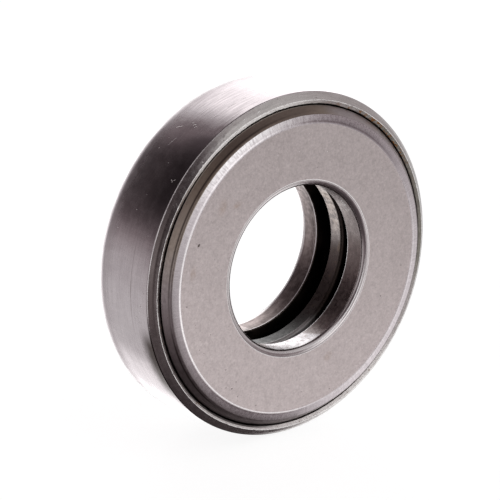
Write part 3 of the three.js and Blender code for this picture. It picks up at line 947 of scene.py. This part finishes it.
def pocketed_cage():
    """The turned cage with a round pocket cut through it over each ball."""
    points, zones = rounded(cage_profile())
    ring = turned("pocketed_cage", points, zones, {"cage": CAGE}, SEGMENTS)
    cutter_mesh = bpy.data.meshes.new("pocket_cutters")
    shape = bmesh.new()
    for name in BALLS:
        low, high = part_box(name)
        centre = (low + high) / 2
        made = bmesh.ops.create_cone(shape, cap_ends=True, segments=POCKET_SEGMENTS,
                                     radius1=POCKET_RADIUS * MM, radius2=POCKET_RADIUS * MM,
                                     depth=4 * CAGE_SHEET * MM)
        web = FRONT + (CAGE_FRONT + CAGE_SHEET / 2) * MM
        for v in made["verts"]:
            v.co = Vector((centre.x + v.co.x, web - v.co.z, centre.z + v.co.y))
    shape.to_mesh(cutter_mesh)
    shape.free()
    cutters = bpy.data.objects.new("pocket_cutters", cutter_mesh)
    bpy.context.scene.collection.objects.link(cutters)
    cut = ring.modifiers.new("pockets", "BOOLEAN")
    cut.operation = "DIFFERENCE"
    cut.solver = "EXACT"
    cut.object = cutters
    graph = bpy.context.evaluated_depsgraph_get()
    mesh = bpy.data.meshes.new_from_object(ring.evaluated_get(graph), depsgraph=graph)
    ring.modifiers.clear()
    ring.data = mesh
    bpy.data.objects.remove(cutters)
    mesh.set_sharp_from_angle(angle=SHARP_ANGLE)
    return ring


cage_ring = pocketed_cage()
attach(cage_ring, "cage")
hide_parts("ball_cage")


def ball_mesh():
    """A cube's faces divided evenly and pushed out to a sphere, so that it has no poles."""
    shape = bmesh.new()
    bmesh.ops.create_cube(shape, size=2)
    bmesh.ops.subdivide_edges(shape, edges=shape.edges, cuts=BALL_CUTS, use_grid_fill=True)
    for v in shape.verts:
        v.co = Vector([math.tan(c * math.pi / 4) for c in v.co]).normalized() * BALL_RADIUS * MM
    mesh = bpy.data.meshes.new("bearing_ball")
    shape.to_mesh(mesh)
    shape.free()
    mesh.polygons.foreach_set("use_smooth", [True] * len(mesh.polygons))
    mesh.materials.append(BALL)
    return mesh


BALL_MESH = ball_mesh()
for name in BALLS:
    low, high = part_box(name)
    ball = bpy.data.objects.new("polished_" + name, BALL_MESH)
    ball.location = (low + high) / 2
    bpy.context.scene.collection.objects.link(ball)
    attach(ball, name)
    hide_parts(name)

# ---------------------------------------------------------------------------------------------
# Floor, light and camera
# ---------------------------------------------------------------------------------------------
scene = bpy.context.scene
scene.view_settings.view_transform = "Standard"

FLOOR_SIZE = 6.0
FLOOR_GLOW = 0.88
floor_mesh = bpy.data.meshes.new("floor")
half = FLOOR_SIZE / 2
ground = -BAND_RADIUS * MM
floor_mesh.from_pydata([(-half, -half, ground), (half, -half, ground), (half, half, ground),
                        (-half, half, ground)], [], [(0, 1, 2, 3)])
floor = bpy.data.objects.new("floor", floor_mesh)
scene.collection.objects.link(floor)
floor_paper = bpy.data.materials.new("floor_paper")
paper = Nodes(floor_paper)
paper.find_place()
paper_shader = paper.tree.nodes["Principled BSDF"]
paper_grain = paper.noise(0.8, 4.0)
paper.link(paper.mix(paper_grain, (0.30, 0.30, 0.30), (0.34, 0.34, 0.34)), paper_shader.inputs["Base Color"])
paper.link(0.9, paper_shader.inputs["Roughness"])
paper.link(paper.bump(paper_grain, 0.02), paper_shader.inputs["Normal"])
paper.link((1, 1, 1, 1), paper_shader.inputs["Emission Color"])
paper.link(FLOOR_GLOW, paper_shader.inputs["Emission Strength"])
floor_paper.cycles.emission_sampling = "NONE"
floor_mesh.materials.append(floor_paper)
floor.visible_glossy = False
floor.visible_shadow = False

# The studio seen in the steel, painted patch over patch onto a dim room: azimuth and elevation
# of the patch's centre, its size, its softness (all in degrees) and its brightness.
ROOM = 0.10
STUDIO = [
    (105, 10, 48, 10, 0.52),
    (32, 52, 32, 10, 0.66),
    (-85, 3, 34, 10, 0.56),
    (-52, -19, 12, 8, 0.32),
    (45, -18, 30, 10, 0.60),
    (5, -12, 20, 8, 0.62),
    (0, -90, 34, 8, 0.06),
    (0, 90, 20, 8, 0.12),
    (-148, -12, 17, 10, 0.65),
    (-150, -26, 11, 6, 0.75),
    (-159, -35, 8, 6, 0.75),
    (-88, 52, 16, 8, 0.50),
    (178, 3, 20, 10, 0.75),
    (147, 8, 20, 6, 2.20),
    (-176, 42, 9, 8, 0.22),
    (152, 28, 16, 8, 1.75),
    (165, -18, 24, 8, 2.20),
    (180, -38, 9, 5, 1.30),
    (150, -54, 14, 5, 0.08),
    (-150, 32, 16, 8, 0.05),
    (120, -40, 10, 6, 1.30),
    (128, -32, 12, 7, 1.20),
    (113, -12, 14, 6, 0.80),
    (20, 23, 9, 5, 1.10),
    (6, 30, 12, 5, 1.20),
    (20, 0, 13, 7, 1.45),
    (24, -21, 8, 4, 1.35),
    (38, -30, 8, 4, 1.15),
    (66, -30, 14, 8, 1.15),
    (84, -43, 12, 6, 1.35),
    (49, 2, 13, 5, 0.26),
    (34, -47, 14, 6, 0.14),
]

world = bpy.data.worlds.new("studio")
scene.world = world
studio = Nodes(world)
looking = studio.node("ShaderNodeTexCoord").outputs["Generated"]
light = ROOM
for azimuth, elevation, size, softness, brightness in STUDIO:
    across, up = math.radians(azimuth), math.radians(elevation)
    centre = (math.sin(across) * math.cos(up), -math.cos(across) * math.cos(up), math.sin(up))
    facing = studio.node("ShaderNodeVectorMath", operation="DOT_PRODUCT")
    studio.link(looking, facing.inputs[0])
    studio.link(centre, facing.inputs[1])
    away = studio.times(studio.maths("ARCCOSINE", facing.outputs["Value"]), math.degrees(1))
    patch = studio.ramp(away, size - softness, size + softness, 1.0, 0.0)
    light = studio.maths("MULTIPLY_ADD", studio.maths("SUBTRACT", brightness, light), patch, light)
backdrop = studio.node("ShaderNodeLightPath").outputs["Is Camera Ray"]
light = studio.maths("MULTIPLY_ADD", studio.maths("SUBTRACT", 1.0, light), backdrop, light)
studio.link(light, studio.tree.nodes["Background"].inputs["Strength"])
tint = studio.mix(studio.ramp(light, 0.05, 0.8), (1.0, 0.82, 0.86), (1.0, 1.0, 1.0))
studio.link(tint, studio.tree.nodes["Background"].inputs["Color"])

# The camera stands at a distance from the centre of the flat face, a long lens's narrow view.
CAMERA_AZIMUTH = math.radians(-38.72)
CAMERA_ELEVATION = math.radians(19.16)
CAMERA_DISTANCE = 0.5519
LENS = 267.6
SENSOR_WIDTH = 36
AIM_LEFT = 7.286  # how far the aim lies from the flat face's centre, in millimetres
AIM_UP = 2.796

sin_a, cos_a = math.sin(CAMERA_AZIMUTH), math.cos(CAMERA_AZIMUTH)
sin_e, cos_e = math.sin(CAMERA_ELEVATION), math.cos(CAMERA_ELEVATION)
towards_camera = Vector((sin_a * cos_e, -cos_a * cos_e, sin_e))
camera_right = Vector((cos_a, sin_a, 0))
camera_up = towards_camera.cross(camera_right)
aim = Vector((0, FRONT, 0)) - camera_right * AIM_LEFT * MM + camera_up * AIM_UP * MM
camera_data = bpy.data.cameras.new("camera")
camera_data.lens = LENS
camera_data.sensor_width = SENSOR_WIDTH
camera = bpy.data.objects.new("camera", camera_data)
camera.location = aim + towards_camera * CAMERA_DISTANCE
camera.rotation_mode = "QUATERNION"
camera.rotation_quaternion = towards_camera.to_track_quat("Z", "Y")
scene.collection.objects.link(camera)
scene.camera = camera
